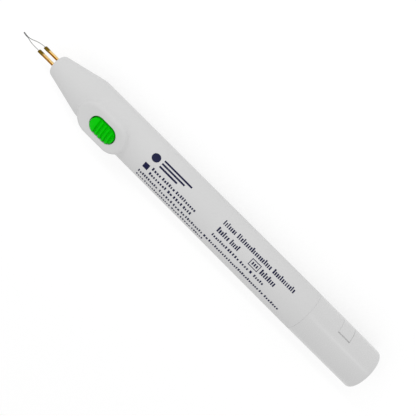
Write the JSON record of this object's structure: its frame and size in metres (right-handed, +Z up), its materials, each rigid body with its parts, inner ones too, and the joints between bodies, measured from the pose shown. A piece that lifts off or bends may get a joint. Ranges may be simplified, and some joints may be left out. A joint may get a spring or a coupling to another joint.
{
  "type": "battery cautery pen",
  "caption": "Slim battery-powered hot-wire pen: fine wire loop on crimped brass posts, nose cone, ribbed push button on a raised pad, long barrel and pull-off end cap.",
  "frame": {"origin": "centre of the bounding box's base: below the middle of the pen, where the barrel touches the surface it lies on", "axes": "+X along the pen towards the wire's point, +Z straight up through the push button, +Y across; the pen's axis is 8.86 mm above the origin"},
  "size_m": [0.1782, 0.0178, 0.0199],
  "materials": {
    "barrel_moulding": "light neutral grey injection-moulded ABS, fine matt texture",
    "cap_moulding": "light neutral grey injection-moulded ABS, slightly glossier than the barrel",
    "button_moulding": "bright green moulded plastic with cross ribs",
    "brass": "drawn brass, bright, darker where it is crimped",
    "resistance_wire": "drawn nickel-chromium wire, heat-darkened at the point",
    "heat_plug": "off-white heat-resistant moulding",
    "inner_moulding": "dark grey moulded plastic",
    "plated_steel": "nickel-plated steel",
    "cell_can": "nickel-plated steel can, with a bright ring round its flat end",
    "navy_print": "navy printed film and pad-printed ink",
    "fibre_washer": "pale fibre insulating washer"
  },
  "bodies": {
    "pen": {"barrel_shell": "barrel_moulding", "tip_post_top": "brass", "tip_post_bottom": "brass", "filament_wire": "resistance_wire", "post_holder": "heat_plug", "switch_carrier": "inner_moulding", "switch_leaf": "brass", "leaf_rivet": "brass", "switch_contact": "brass", "positive_contact": "brass", "positive_strip": "brass", "negative_strip": "plated_steel", "front_cell_can": "cell_can", "front_cell_jacket": "navy_print", "front_cell_nub": "plated_steel", "front_cell_ring": "fibre_washer", "rear_cell_can": "cell_can", "rear_cell_jacket": "navy_print", "rear_cell_nub": "plated_steel", "rear_cell_ring": "fibre_washer"},
    "button": {"switch_button": "button_moulding"},
    "cap": {"rear_cap": "cap_moulding", "rear_contact": "plated_steel", "rear_spring": "plated_steel"}
  },
  "joints": [
    {"name": "button_press", "type": "slide", "parent": "pen", "child": "button", "axis": [0, 0, -1], "range_m": [0, 0.0009], "stiffness_N_per_m": 800, "springref_m": -0.0004, "deforming": ["switch_leaf"]},
    {"name": "rear_cap_pull", "type": "slide", "parent": "pen", "child": "cap", "axis": [-1, 0, 0], "range_m": [0, 0.045]}
  ]
}
